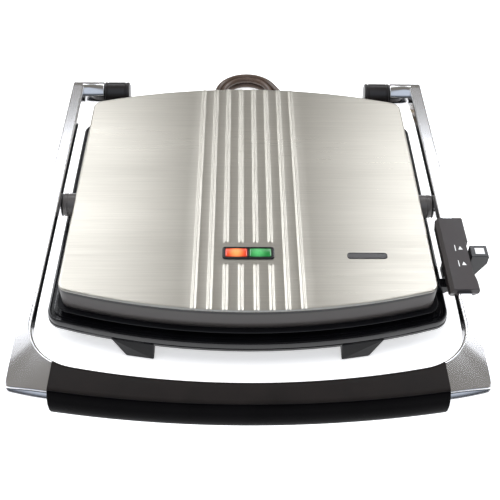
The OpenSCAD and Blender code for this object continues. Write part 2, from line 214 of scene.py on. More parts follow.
def turned(profile, start, along, sides=40):
    """Profile of (distance, radius) points turned round the axis through start."""
    axis = np.asarray(along, float) / np.linalg.norm(along)
    up = np.array([0, 0, 1.0]) if abs(axis[2]) < 0.9 else np.array([1.0, 0, 0])
    side = np.cross(axis, up)
    side /= np.linalg.norm(side)
    up = np.cross(side, axis)
    run, radius = np.asarray(profile, float).T
    t = np.linspace(0, 2 * np.pi, sides, endpoint=False)
    circle = np.cos(t)[:, None] * side + np.sin(t)[:, None] * up
    return np.asarray(start) + run[:, None, None] * axis + radius[:, None, None] * circle


def tube(path, radius, sides=16):
    """Circle carried along a path. Its side is the path's heading crossed with the vertical, and
    its top is square to both."""
    heading = np.gradient(path, axis=0)
    heading /= np.linalg.norm(heading, axis=1, keepdims=True)
    side = np.cross(heading, [0, 0, 1])
    side /= np.linalg.norm(side, axis=1, keepdims=True)
    top = np.cross(side, heading)
    t = np.linspace(0, 2 * np.pi, sides, endpoint=False)[None, :, None]
    return path[:, None] + radius * (np.cos(t) * side[:, None] + np.sin(t) * top[:, None])


def bowed_edge(reach, xs=None, corner=None, steps=8):
    """Front edge of a plan that stands out beyond the lid by reach, from left to right: points
    and outward normals. Its middle is a circle of EDGE_R and each end a quarter turn of a smaller
    circle inside it. A point at a lean of t is its circle's centre plus radius (sin t, -cos t)."""
    side, fore = reach
    half, r = LID_HALF + side, EDGE_R + fore
    corner = max(3, LID_CORNER + 0.4 * fore) if corner is None else corner
    end = math.asin((half - corner) / (r - corner))
    turn = np.linspace(end, np.pi / 2, steps)
    middle = np.linspace(-end, end, 19)[1:-1] if xs is None else np.arcsin(xs / r)
    lean = np.concatenate([-turn[::-1], middle, turn])
    bow = np.concatenate([turn < 0, middle > -9, turn < 0])
    normal = np.stack([np.sin(lean), -np.cos(lean)], 1)
    centre = np.stack([
        np.where(bow, 0, np.sign(lean) * (half - corner)),
        LID_FRONT - fore + r - np.where(bow, 0, (r - corner) * math.cos(end))], 1)
    return centre + np.where(bow, r, corner)[:, None] * normal, normal


def plan_loop(side, fore, aft, z):
    """Closed loop round the press at a height, beyond the lid by side, fore and aft. Its back
    edge is the front edge turned over."""
    front, _ = bowed_edge((side, fore))
    back = front[::-1] * [1, -1] + [0, LID_FRONT - fore + LID_BACK + aft]
    loop = np.concatenate([front, back])
    return np.column_stack([loop, np.full(len(loop), z)])


def sheet_faces(rows, columns, wrap_rows=False, wrap_columns=False):
    """Four-sided faces between neighbouring points of a grid. wrap joins its last line to its
    first."""
    r = np.arange(rows if wrap_rows else rows - 1)[:, None]
    c = np.arange(columns if wrap_columns else columns - 1)[None, :]
    down, right = (r + 1) % rows, (c + 1) % columns
    return np.stack([r * columns + c, r * columns + right, down * columns + right,
                     down * columns + c], -1).reshape(-1, 4)


class Shape:
    """Points, UVs, faces and finish numbers of one piece."""

    def __init__(self):
        self.points, self.uv, self.faces, self.finish, self.count = [], [], [], [], 0

    def add(self, points, faces, finish=0, uv=None):
        """Adds blocks of faces. finish is one number or one for each block."""
        points = np.reshape(points, (-1, 3))
        self.points.append(points)
        self.uv.append(points[:, 1::-1] / 100 if uv is None else np.reshape(uv, (-1, 2)))
        for block in faces:
            self.faces += (np.asarray(block) + self.count).tolist()
            self.finish += [finish] * len(block)
        self.count += len(points)
        return self

    def solid(self, rows, finish=0):
        """Joins closed loops into a solid, with its first and last loop filled."""
        m, n = rows.shape[:2]
        ends = [np.arange(n)[None], np.arange((m - 1) * n, m * n)[None]]
        return self.add(rows, [sheet_faces(m, n, wrap_columns=True), *ends], finish)

    def ring(self, rows, finish=0):
        """Joins closed loops into a ring, the last to the first."""
        m, n = rows.shape[:2]
        return self.add(rows, [sheet_faces(m, n, True, True)], finish)

    def both(self, rows, finish=0):
        """A solid and its mirror image."""
        return self.solid(rows, finish).solid(mirrored(rows), finish)


def link_piece(name, mesh, body, finishes, replaces, crease):
    """Gives a mesh its finishes and creases, and makes it a piece that rides on a body."""
    mesh.shade_smooth()
    mesh.set_sharp_from_angle(angle=math.radians(crease))
    for finish in finishes:
        mesh.materials.append(finish)
    piece = bpy.data.objects.new(name, mesh)
    bpy.context.scene.collection.objects.link(piece)
    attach(piece, body)
    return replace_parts(piece, *replaces)


def put(name, shape, body, finishes, replaces, crease=35):
    """Makes a piece from a shape: merges the points that its parts share, and turns its faces
    outwards."""
    mesh = bpy.data.meshes.new(name)
    mesh.from_pydata((np.concatenate(shape.points) + [MID_X, 0, 0]) * MM, [], shape.faces)
    corners = np.empty(len(mesh.loops), np.int32)
    mesh.loops.foreach_get("vertex_index", corners)
    layer = mesh.uv_layers.new(name="UVMap")
    layer.uv.foreach_set("vector", np.concatenate(shape.uv)[corners].ravel())
    mesh.polygons.foreach_set("material_index", np.array(shape.finish, np.int32))
    work = bmesh.new()
    work.from_mesh(mesh)
    bmesh.ops.remove_doubles(work, verts=work.verts, dist=2e-6)
    bmesh.ops.recalc_face_normals(work, faces=work.faces)
    work.to_mesh(mesh)
    work.free()
    return link_piece(name, mesh, body, finishes, replaces, crease)


def eased(name, node, finish, width=0.6, segments=3):
    """A copy of a node with its flat faces joined and a bevel on every edge above 25 degrees."""
    work = bmesh.new()
    work.from_mesh(frame["nodes"][node].data)
    bmesh.ops.remove_doubles(work, verts=work.verts, dist=2e-6)
    bmesh.ops.dissolve_limit(work, angle_limit=math.radians(0.6), verts=work.verts,
                             edges=work.edges)
    mesh = bpy.data.meshes.new(name)
    work.to_mesh(mesh)
    work.free()
    for layer in [a for a in mesh.attributes if a.name == "custom_normal"]:
        mesh.attributes.remove(layer)
    body = body_of(frame["nodes"][node])[0]
    piece = link_piece(name, mesh, body, [finish], [node], 35)
    bevel = piece.modifiers.new("Eased edges", "BEVEL")
    bevel.width = width * MM
    bevel.segments = segments
    bevel.limit_method = "ANGLE"
    bevel.angle_limit = math.radians(25)
    bevel.harden_normals = True
    return piece


# ---------------------------------------------------------------- finishes

class Nodes:
    """Adds nodes to a tree, and sets or links what goes into them."""

    def __init__(self, tree):
        self.tree = tree

    def feed(self, socket, value):
        if isinstance(value, bpy.types.NodeSocket):
            self.tree.links.new(value, socket)
        else:
            socket.default_value = value

    def add(self, kind, inputs=None, out=0, **settings):
        made = self.tree.nodes.new("ShaderNode" + kind)
        for key, value in settings.items():
            setattr(made, key, value)
        for key, value in (inputs or {}).items():
            self.feed(made.inputs[key], value)
        return made.outputs[out]

    def math(self, operation, a, b=0.0, c=0.0):
        return self.add("Math", {0: a, 1: b, 2: c}, operation=operation)

    def times(self, a, b):
        return self.math("MULTIPLY", a, b)

    def noise(self, place, scale, detail=2.0, stretch=(1, 1, 1)):
        """Noise with cells of one over scale metres, drawn out along an axis by stretch."""
        spot = self.add("Mapping", {"Vector": place, "Scale": [1 / s for s in stretch]})
        return self.add("TexNoise", {"Vector": spot, "Scale": scale, "Detail": detail})

    def spread(self, value, low, high, new_low=0.0, new_high=1.0, smooth=False):
        """Maps low to new_low and high to new_high."""
        return self.add("MapRange", {0: value, 1: low, 2: high, 3: new_low, 4: new_high},
                        interpolation_type="SMOOTHSTEP" if smooth else "LINEAR")

    def soft(self, value, *ends):
        """As spread does, in a smooth step."""
        return self.spread(value, *ends, smooth=True)

    def mix(self, factor, a, b):
        return self.add("Mix", {0: factor, 6: a, 7: b}, out=2, data_type="RGBA")


def shade(colour, by):
    """Colour made lighter or darker, as red, green, blue and alpha."""
    return [min(1.0, c * by) for c in list(colour)[:3]] + [1.0]


def new_finish(name, **sockets):
    """Material with its constant values on the shader's own sockets: its nodes, its shader and
    its place in Object coordinates."""
    made = bpy.data.materials.new(name)
    made.use_nodes = True
    nodes = Nodes(made.node_tree)
    shader = made.node_tree.nodes["Principled BSDF"]
    for key, value in sockets.items():
        shader.inputs[key.replace("_", " ")].default_value = value
    place = nodes.add("TexCoord", out=3)
    return made, nodes, shader, place


def moulded(name, colour, rough, grain=2600.0, depth=0.012, mottle=0.22, **sockets):
    """Moulded plastic or rubber: fine grain in the bump, faint clouds in colour and gloss."""
    made, nodes, shader, place = new_finish(name, **sockets)
    fine = nodes.noise(place, grain, 3)
    cloud = nodes.noise(place, 42, 3)
    tone = nodes.math("MULTIPLY_ADD", fine, 0.35, nodes.times(cloud, 0.65))
    tone = nodes.spread(tone, 0.35, 0.65)
    nodes.feed(shader.inputs["Base Color"],
               nodes.mix(tone, shade(colour, 1 - mottle), shade(colour, 1 + mottle)))
    nodes.feed(shader.inputs["Roughness"], nodes.spread(tone, 0, 1, rough - 0.05, rough + 0.05))
    nodes.feed(shader.inputs["Normal"],
               nodes.add("Bump", {"Strength": 0.5, "Distance": depth * MM, "Height": fine}))
    return made


def worked_metal(name, colour, rough, stretch=(1, 1, 1), grain=900.0, depth=0.004, streak=0.08,
                 tangent=False, **sockets):
    """Metal whose grain is noise drawn out along the direction it was worked in. It shows in
    colour, gloss and bump."""
    made, nodes, shader, place = new_finish(name, Metallic=1.0, **sockets)
    fine = nodes.noise(place, grain, 4, stretch)
    cloud = nodes.noise(place, 14, 3, [min(s, 6) for s in stretch])
    tone = nodes.math("MULTIPLY_ADD", fine, 0.6, nodes.times(cloud, 0.4))
    tone = nodes.spread(tone, 0.3, 0.7)
    nodes.feed(shader.inputs["Base Color"],
               nodes.mix(tone, shade(colour, 1 - streak), shade(colour, 1 + streak)))
    nodes.feed(shader.inputs["Roughness"], nodes.spread(
        tone, 0, 1, rough * (1 + streak), rough * (1 - streak)))
    nodes.feed(shader.inputs["Normal"],
               nodes.add("Bump", {"Strength": 0.5, "Distance": depth * MM, "Height": fine}))
    if tangent:
        nodes.feed(shader.inputs["Tangent"],
                   nodes.add("Tangent", direction_type="UV_MAP", uv_map="UVMap"))
    return made


def skirt_grey_painted_shade(name, plain_grey, painted_shade_colour):
    """Dark grey skirt with painted shade: black along its top edge and towards its lower edge."""
    made, nodes, shader, place = new_finish(name)
    height = nodes.add("SeparateXYZ", {0: place}, out=2)
    # Painted shade: the colour darkens to black towards the skirt's lower edge.
    level = nodes.spread(height, (SKIRT_LOW - 1.5) * MM, (SKIRT_LOW + 5) * MM, smooth=True)
    fleck = nodes.noise(place, 1400, 3)
    cloud = nodes.noise(place, 30, 2, (6, 6, 1))
    level = nodes.math("MULTIPLY_ADD", nodes.math("SUBTRACT", cloud, 0.5), 0.25, level)
    # Painted shade: a black line along the skirt's top edge, just under the cover's rounded edge.
    level = nodes.times(level, nodes.spread(
        height, (LID_TOP - 3.4) * MM, (LID_TOP - 4.6) * MM, smooth=True))
    nodes.feed(shader.inputs["Base Color"],
               nodes.mix(level, shade(painted_shade_colour, 1), shade(plain_grey, 1)))
    nodes.feed(shader.inputs["Roughness"], nodes.spread(cloud, 0.3, 0.7, 0.36, 0.46))
    nodes.feed(shader.inputs["Normal"],
               nodes.add("Bump", {"Strength": 0.4, "Distance": 0.006 * MM, "Height": fleck}))
    return made


def lit_lens(name, colour, glow, centre_x, strength):
    """Clear coloured lens with a lamp behind its middle: light falls off with the distance from
    the lamp, and moulded prisms on the underside break it up."""
    made, nodes, shader, place = new_finish(name, Roughness=0.12, Coat_Weight=0.6,
                                            Transmission_Weight=0.15,
                                            Emission_Strength=strength)
    lamp = [(centre_x + MID_X) * MM, WINDOW_Y * MM, (LID_TOP + 1) * MM]
    from_lamp = nodes.add("VectorMath", {0: place, 1: lamp}, out=1, operation="DISTANCE")
    bright = nodes.soft(from_lamp, 8.5 * MM, 1.0 * MM)
    prisms = nodes.noise(place, 1500, 2, (1, 1.5, 1))
    bright = nodes.times(bright, nodes.spread(prisms, 0.35, 0.65, 0.8, 1.08))
    nodes.feed(shader.inputs["Base Color"],
               nodes.mix(prisms, shade(colour, 0.85), shade(colour, 1.12)))
    nodes.feed(shader.inputs["Emission Color"],
               nodes.mix(bright, shade(colour, 0.14), shade(glow, 1)))
    nodes.feed(shader.inputs["Normal"],
               nodes.add("Bump", {"Strength": 0.3, "Distance": 0.05 * MM, "Height": prisms}))
    return made


FINISHES = {}


def finish(name):
    """The finish of that name, made the first time it is asked for."""
    if name not in FINISHES:
        FINISHES[name] = RECIPES[name]()
    return FINISHES[name]


def look():
    return bpy.context.scene.press_finish


RECIPES = {
    "brushed_steel": lambda: worked_metal(
        "brushed_steel", look().steel, look().steel_rough, (90, 1, 1), 1500.0, 0.006, 0.10,
        tangent=True, Anisotropic=0.75),
    # The skirt's dark grey carries painted shade along its top edge and towards its lower edge.
    "skirt_grey_painted_shade": lambda: skirt_grey_painted_shade("skirt_grey_painted_shade", (0.05, 0.044, 0.042),
                                         (0.006, 0.006, 0.007)),
    "satin_casting": lambda: worked_metal(
        "satin_casting", look().casting, look().casting_rough, (1, 1, 1), 700.0, 0.001, 0.02),
    "bright_steel": lambda: worked_metal("bright_steel", (0.6, 0.6, 0.62), 0.24, (1, 1, 8)),
    "element_steel": lambda: worked_metal("element_steel", (0.22, 0.2, 0.19), 0.42, (1, 6, 1),
                                          500.0, 0.01, 0.3),
    "reflector_sheet": lambda: worked_metal("reflector_sheet", (0.72, 0.72, 0.74), 0.2,
                                            (40, 1, 1), 900.0, 0.004, 0.06),
    "brass": lambda: worked_metal("brass", (0.72, 0.56, 0.28), 0.25, (6, 1, 1)),
    "black_shell": lambda: moulded("black_shell", (0.005, 0.005, 0.006), 0.12, 1800.0, 0.002,
                                   Specular_IOR_Level=0.5),
    "inner_frame": lambda: moulded("inner_frame", (0.006, 0.006, 0.007), 0.4,
                                   Specular_IOR_Level=0.15),
    "boss_plastic": lambda: moulded("boss_plastic", (0.075, 0.069, 0.066), 0.3, 1500.0, 0.006),
    "hinge_plastic": lambda: moulded("hinge_plastic", (0.013, 0.0105, 0.0098), 0.32),
    "grip_cap": lambda: moulded("grip_cap", look().grip, 0.46, 2200.0, 0.012, 0.3,
                                Specular_IOR_Level=0.18),
    # Painted shade: the grip's lower half is a darker, less glossy copy of the cap's plastic,
    # which keeps its front face near black under the floor's light.
    "grip_body": lambda: moulded("grip_body", (0.0024, 0.0022, 0.0026), 0.3, 2200.0, 0.008, 0.2,
                                 Specular_IOR_Level=0.02),
    "latch_plastic": lambda: moulded("latch_plastic", (0.028, 0.022, 0.022), 0.42, 2400.0,
                                     0.014, 0.25),
    "knob_plastic": lambda: moulded("knob_plastic", (0.008, 0.008, 0.009), 0.3),
    "print_white": lambda: moulded("print_white", (0.86, 0.86, 0.85), 0.5, 3000.0, 0.004, 0.04),
    "foot_rubber": lambda: moulded("foot_rubber", (0.02, 0.02, 0.02), 0.75, 1500.0, 0.02),
    # Painted reflection: the cord's near-black jacket is lightened and warmed to brown, standing
    # in for the warm reflections of the room.
    "cord_jacket_painted_reflection": lambda: moulded("cord_jacket_painted_reflection", (0.075, 0.048, 0.034), 0.24, 1200.0, 0.008, 0.3),
    "nonstick_coat": lambda: moulded("nonstick_coat", (0.022, 0.022, 0.024), 0.38, 1300.0,
                                     0.02, 0.35),
    "ceramic": lambda: moulded("ceramic", (0.78, 0.75, 0.66), 0.55, 900.0, 0.01, 0.08),
    "bush_acetal": lambda: moulded("bush_acetal", (0.72, 0.68, 0.55), 0.4, 2000.0, 0.004, 0.06),
    "bezel_plastic": lambda: moulded("bezel_plastic", (0.012, 0.012, 0.012), 0.22, 2500.0, 0.003),
    "badge_enamel": lambda: moulded("badge_enamel", (0.05, 0.048, 0.048), 0.3, 1500.0, 0.004),
    "lamp_glass": lambda: moulded("lamp_glass", (0.8, 0.62, 0.5), 0.15, 600.0, 0.01, 0.1,
                                  Transmission_Weight=0.5),
    "red_lens": lambda: lit_lens("red_lens", (0.75, 0.05, 0.01), (1.0, 0.42, 0.12), -10.5, 1.1),
    "green_lens": lambda: lit_lens("green_lens", (0.01, 0.22, 0.04), (0.2, 0.8, 0.3), 8.5, 0.5),
}


# ---------------------------------------------------------------- pieces

def cord_route():
    """Route of the cord: the lead, a coil of two turns side by side and two high, and the tail.
    The coil turns clockwise from its left side, with its radius and height as half cosine waves
    that step in by one cord, up by one, and out by one."""
    turn = np.arange(0, 1231, 10.0)
    radius = COIL_R - CORD_D * swing(235, 345, turn) + CORD_D * swing(870, 980, turn)
    a = np.radians(turn)
    coil = np.column_stack([COIL_AT[0] - radius * np.cos(a), COIL_AT[1] + radius * np.sin(a),
                            CORD_D / 2 + CORD_D * swing(560, 665, turn)])
    return np.concatenate([LEAD, coil, TAIL])


def rib_height(x, y, look):
    """Height of the ribs at a point. A rib is level over its crown and eases to nothing at its
    foot, and the four in the middle stop short of the indicators."""
    number = np.clip(np.floor(x / look.rib_pitch), -4, 3) + 0.5
    off = np.abs(x - number * look.rib_pitch)
    over = 1 - ease(look.rib_crown, look.rib_foot, off)
    stop = ease(look.rib_stop - STOP_EASE, look.rib_stop + STOP_EASE, np.abs(y - WINDOW_Y))
    return look.rib_rise * over * np.where(np.abs(number) < 2, stop, 1)


def lid_shell(look):
    """The lid's cover. Its top is a grid of straight columns between the bowed front and back
    edges, raised by the ribs. Its edge and skirt are loops carried out and down from the grid's
    own border, and a second grid inside closes it."""
    offs = np.array(RIB_ROWS) * look.rib_foot / ROWS_FOOT
    ribs = (np.arange(8)[:, None] - 3.5) * look.rib_pitch
    beside = np.linspace(57, 146, 7)
    xs = np.unique(np.concatenate([(ribs + offs).ravel(), (ribs - offs).ravel(), beside,
                                   -beside]).round(4))
    front, normal = bowed_edge((-EDGE_ROUND, -EDGE_ROUND), xs, LID_CORNER - EDGE_ROUND)
    back = front * [1, -1] + [0, LID_FRONT + LID_BACK]
    near, far = LID_FRONT + EDGE_ROUND, LID_BACK - EDGE_ROUND
    stops = [WINDOW_Y + s * look.rib_stop + np.linspace(-3, 3, 9) for s in (-1, 1)]
    ys = np.concatenate([[near, near + 2], np.linspace(near + 6, stops[0][0] - 3, 6), stops[0],
                         np.linspace(-48, -36, 4), stops[1], np.linspace(-20, far - 3, 16),
                         [far]])
    v = ((ys - near) / (far - near))[:, None, None]
    flat = front * (1 - v) + back * v
    m, n = flat.shape[:2]
    lift = rib_height(flat[..., 0], flat[..., 1], look)
    top = np.dstack([flat, LID_TOP + lift])
    inner = np.dstack([flat, np.full((m, n), LID_TOP - look.sheet)])
    shape = Shape().add(top, [sheet_faces(m, n)]).add(inner, [sheet_faces(m, n)], 1)

    border = np.concatenate([np.arange(n), n * np.arange(2, m) - 1,
                             np.arange(m * n - 1, m * n - n - 1, -1), n * np.arange(m - 2, 0, -1)])
    sides = np.zeros((m - 2, 2)) + [1, 0]
    out = np.concatenate([normal, sides, (normal * [1, -1])[::-1], -sides])
    rim = flat.reshape(-1, 2)[border]
    wave = lift.ravel()[border]
    t = np.linspace(0, np.pi / 2, 6)
    curve = np.column_stack([EDGE_ROUND * np.sin(t), LID_TOP - EDGE_ROUND * (1 - np.cos(t)),
                             np.cos(t)])
    edge = EDGE_ROUND
    skirt = np.array([[edge, LID_TOP - 6, 0], [edge, LID_TOP - 14, 0],
                      [edge - 0.25, SKIRT_LOW + 0.35, 0], [edge - 0.6, SKIRT_LOW, 0],
                      [edge - look.sheet, SKIRT_LOW + 0.1, 0],
                      [edge - look.sheet, LID_TOP - edge - 0.4, 0], [0, LID_TOP - look.sheet, 0]])
    around = np.concatenate([[0], np.cumsum(np.linalg.norm(np.diff(rim, axis=0), axis=1))])
    for part, number in ((curve[:5], 0), (np.concatenate([curve[4:], skirt]), 1)):
        xy = rim + part[:, :1, None] * out
        z = part[:, 1:2] + part[:, 2:3] * wave
        uv = np.dstack([np.broadcast_to(part[:, 1:2], z.shape),
                        np.broadcast_to(around, z.shape)]) / 100
        shape.add(np.dstack([xy, z]), [sheet_faces(*z.shape, wrap_columns=True)], number, uv)
    return shape


def loops(profile):
    """Loops round the press for a profile of (side, fore, aft, height) points."""
    return np.stack([plan_loop(*point) for point in profile])


def lid_frame_ring():
    """Frame inside the lid: a thin flange under the skirt, and a wall inside it."""
    low = extent("lid_frame")[0][2]
    return Shape().ring(loops([
        (3.3, 3.3, -1.7, low), (4, 4, -1, low + 0.5), (4, 4, -1, low + 1),
        (3.4, 3.4, -1.6, low + 1.5),
        (-1.2, -1.2, -1.2, low + 1.5), (-1.2, -1.2, -1.2, 57), (-4, -4, -4, 57),
        (-4, -4, -4, low + 2), (-8, -8, -8, low + 1.5), (-8, -8, -8, low)]))


def base_shell():
    """Base: a rim with a lip and a groove round its top, a deck inside it, and a narrower belly
    under it."""
    def rim(inset, z):
        return (*(RIM_REACH - inset), z)

    def belly(inset, z):
        return (*(RIM_REACH - BELLY_IN - inset), z)

    groove = RIM_TOP - 1.3
    return Shape().ring(loops([
        rim(0.9, RIM_LOW), rim(0.25, RIM_LOW + 0.35), rim(0, RIM_LOW + 1), rim(0, RIM_LOW + 3.2),
        rim(0.5, RIM_LOW + 3.9), rim(0.5, RIM_TOP - 2.2), rim(0.75, RIM_TOP - 0.9),
        rim(1.3, RIM_TOP - 0.2), rim(2, RIM_TOP), rim(2.9, RIM_TOP - 0.1), rim(3.4, groove),
        rim(5.6, groove), rim(6.1, RIM_TOP - 0.1), rim(6.8, RIM_TOP), (-7, -7, -7, RIM_TOP),
        (-8, -8, -8, RIM_TOP - 1), (-8, -8, -8, RIM_TOP - WALL), belly(WALL, RIM_TOP - WALL),
        belly(WALL, BELLY_LOW), belly(0.8, BELLY_LOW), belly(0, BELLY_LOW + 1.2),
        belly(0, RIM_LOW)]))


def standing_lugs():
    """Four lugs that the base stands on: an outline across the press, carried front to back. The
    front ones follow the bow of the rim, a circle of EDGE_R grown by the rim's reach."""
    low, high = extent("rubber_feet")[1][2] - 0.4, RIM_LOW + 3
    front = soft_corners([(79.6, high), (117, high), (105.5, low), (81, low)], 1.6)
    rear = soft_corners([(98, RIM_LOW + 1), (128, RIM_LOW + 1), (124, low), (102, low)], 1.6)
    bowed = prism(front, -0.6, 14, 0.8, [0, 2, 1])
    r = EDGE_R + RIM_REACH[1]
    bowed[..., 1] += BASE_LOW[1] + r - np.sqrt(r * r - bowed[..., 0] ** 2)
    return Shape().both(bowed).both(prism(rear, 171, 184, 0.8, [0, 2, 1]))


def hinge_towers():
    """Towers at the back of the base: a side outline carried across, with a barrel on top that
    has a bead near each end."""
    side = soft_corners([
        (178, RIM_LOW), (HINGE_Y + BARREL_R - 0.4, RIM_LOW), (HINGE_Y + BARREL_R - 0.4, HINGE_Z),
        (HINGE_Y - BARREL_R + 0.4, HINGE_Z), (187, 42), (184.5, RIM_TOP), (178, RIM_TOP)], 3)
    start, end = BARREL
    run = end - start
    r = BARREL_R
    barrel = [(0, r - 1.6), (0.3, r - 0.7), (1, r), (3, r), (3.5, r - 0.6), (4.3, r - 0.6),
              (4.8, r), (run - 3.4, r), (run - 3, r - 0.5), (run - 2.4, r - 0.5), (run - 2, r),
              (run - 0.7, r), (run - 0.2, r - 0.4), (run, r - 1.2)]
    return Shape().both(prism(side, start + 0.6, end - 0.6, 1.2, [1, 2, 0])).both(
        turned(barrel, (start, HINGE_Y, HINGE_Z), (1, 0, 0), 48))


def arm_low(y):
    """Height of the underside of an arm: level, lower towards the hinge and the grip."""
    back = np.clip((y - 110) / (HINGE_Y - 110), 0, 1) ** 2.5
    return ARM_TOP - ARM_DEEP - 10 * back - 11 * ease(-96, -182, y)


def arm_high(y):
    """Height of the top of an arm: level, with a slight fall to the front edge."""
    return ARM_TOP - 1.8 * ease(-160, -200, y)


def circle_part(centre, radius, start, end, steps):
    """Points of a circle from one lean to another, where lean 0 points to the front."""
    t = np.radians(np.linspace(start, end, steps))
    return np.stack([centre[0] + radius * np.sin(t), centre[1] - radius * np.cos(t)], 1)


def frame_edges():
    """Right half of the handle frame's inner and outer edges in plan, from the middle of the
    grip: a wide circle, a corner circle that meets it, and the straight arm."""
    def half(reach, front, r, corner):
        end = math.degrees(math.asin((reach - corner) / (r - corner)))
        centre = (reach - corner, front + r - (r - corner) * math.cos(math.radians(end)))
        return (circle_part((0, front + r), r, 0, end, 60),
                circle_part(centre, corner, end, 90, 24)[1:])

    return (half(ARM_IN, GRIP_FRONT + GRIP_W, INNER_R, INNER_CORNER),
            half(ARM_OUT, GRIP_FRONT, FRONT_R, FRONT_CORNER))


def along(path, steps):
    """Points evenly spaced along a path."""
    run = np.concatenate([[0], np.cumsum(np.linalg.norm(np.diff(path, axis=0), axis=1))])
    at = np.linspace(0, run[-1], steps)
    return np.column_stack([np.interp(at, run, path[:, 0]), np.interp(at, run, path[:, 1])])


def grip_end(path):
    """Splits an edge of the handle frame where the grip meets the arm."""
    y = np.interp(JOINT_X, path[:, 0], path[:, 1])
    near = path[:, 0] < JOINT_X
    at = [[JOINT_X, y]]
    return np.concatenate([path[near], at]), np.concatenate([at, path[~near]])


def right_arm():
    """Right arm from its round end at the hinge to the grip. Stations join a point of the inner
    edge to one of the outer edge, and each carries a section with round corners and a slightly
    full outer face."""
    (inner_bow, inner_turn), (outer_bow, outer_turn) = frame_edges()
    _, inner = grip_end(np.concatenate([inner_bow, inner_turn]))
    _, outer = grip_end(np.concatenate([outer_bow, outer_turn, [[ARM_OUT, inner[-1, 1]]]]))
    knee = 34
    inner, outer = along(inner, knee)[::-1], along(outer, knee)[::-1]
    corner_y = inner[0, 1]
    end = np.radians(np.linspace(82, 0, 8))
    ys = np.concatenate([HINGE_Y + COLLAR_R * np.sin(end),
                         np.linspace(HINGE_Y - 4, corner_y + 3, 44)])
    straight = [np.column_stack([np.full(len(ys), x), ys]) for x in (ARM_IN, ARM_OUT)]
    a, b = np.concatenate([straight[0], inner]), np.concatenate([straight[1], outer])
    across = b - a
    width = np.linalg.norm(across, axis=1, keepdims=True)
    cut = np.concatenate([COLLAR_R * (1 - np.cos(end)), np.zeros(len(a) - len(end))])[:, None]

    def corner(side, level, r, full, lean, start, steps=5):
        """A section's corner: which edge it belongs to, how far it stands off it on the arm, and
        how much further in it is where the arm meets the grip."""
        t = np.radians(np.linspace(start, start + 90, steps))
        off = (1 - 2 * side) * (r + full) + r * np.cos(t)
        rise = (1 - 2 * level) * r + r * np.sin(t)
        return np.column_stack([np.full(steps, side), off, np.full(steps, level), rise,
                                np.full(steps, lean)])

    face = [[1, -0.2, 0.38, 0, 0], [1, 0, 0.5, 0, 0], [1, 0, 0.65, 0, 0.5],
            [1, -0.05, 0.77, 0, 1.4], [1, -0.15, 0.86, 0, 2.6], [1, -0.25, 0.93, 0, 3.9]]
    underside = [[0, 3.3, 0, 0, 0], [1, -4.7, 0, 0, 0]]
    top = [[1, -1.9, 1, 0, 4.8], [0, 2.6, 1, 0, 0]]
    inside = [[0, 0, 1, -2.6, 0], [0, 0, 0, 3.3, 0]]
    section = np.concatenate([corner(0, 0, 2.5, 0, 0, 180), underside,
                              corner(1, 0, 3.2, 0.7, 0, 270), face,
                              corner(1, 1, 0.7, 0.3, 4.8, 0), top,
                              corner(0, 1, 1.8, 0, 0, 90), inside])
    side, off, level, rise, lean = section.T
    small = np.clip(1 - cut / COLLAR_R, 0.15, 1)
    off = off * small - lean * ease(0.62, 1, np.linspace(0, 1, len(a)))[:, None]
    place = a[:, None] + (side * width + off)[..., None] * (across / width)[:, None]
    low, high = arm_low(place[..., 1]) + cut, arm_high(place[..., 1]) - cut
    z = low + (high - low) * level + rise * small
    return np.dstack([place, z])


def arm_shape(mirror):
    """An arm with its hinge collar and the lug for the lid's pivot."""
    keep = mirrored if mirror else np.asarray
    start = BARREL[1] + 0.4
    run = ARM_IN - start + 2
    collar = [(0, COLLAR_R - 1.3), (0.25, COLLAR_R - 0.5), (0.9, COLLAR_R), (run, COLLAR_R)]
    lug = [(0, BARREL_R - 1), (0.8, BARREL_R), (10.6, BARREL_R), (11.5, BARREL_R - 0.9)]
    return (Shape().solid(keep(right_arm()))
            .solid(keep(turned(collar, (start, HINGE_Y, HINGE_Z), (1, 0, 0), 56)))
            .solid(keep(turned(lug, (ARM_IN + 0.2, FLOAT_Y, FLOAT_Z), (1, 0, 0), 48))))


def grip_rows(section):
    """A section of (edge, distance, height) points carried along the grip from its left end to
    its right. Edge 0 measures the distance from the inner edge of the handle frame and edge 1
    from its front."""
    (inner_bow, inner_turn), (outer_bow, outer_turn) = frame_edges()
    paths = []
    for bow, turn in ((inner_bow, inner_turn), (outer_bow, outer_turn)):
        half, _ = grip_end(np.concatenate([bow, turn]))
        half = along(half, 40)
        paths.append(np.concatenate([half[:0:-1] * [-1, 1], half]))
    a, b = paths
    ends = 1 - 0.5 / JOINT_X
    a, b = a * [ends, 1], b * [ends, 1]
    width = np.linalg.norm(b - a, axis=1, keepdims=True)
    edge, distance, height = np.array(section, float).T
    from_inner = edge * width + distance
    place = a[:, None] + from_inner[..., None] * ((b - a) / width)[:, None]
    return np.dstack([place, np.broadcast_to(height, place.shape[:2])])


def grip_cap():
    """Upper half of the grip: level on top, round at its inner edge, crisp towards the front."""
    top, split = GRIP_TOP, GRIP_SPLIT
    return Shape().solid(grip_rows([
        (0, 0.35, split), (0, 0, split + 0.6), (0, 0.1, top - 3.2), (0, 0.8, top - 1.5),
        (0, 2, top - 0.55), (0, 4, top - 0.1), (0, 7, top), (1, -8, top - 0.05),
        (1, -6, top - 0.15), (1, -5.3, top - 0.4), (1, -5, top - 0.9), (1, -5.1, top - 1.6),
        (1, -5.6, top - 3), (1, -6, split + 0.4), (1, -6.4, split)]))


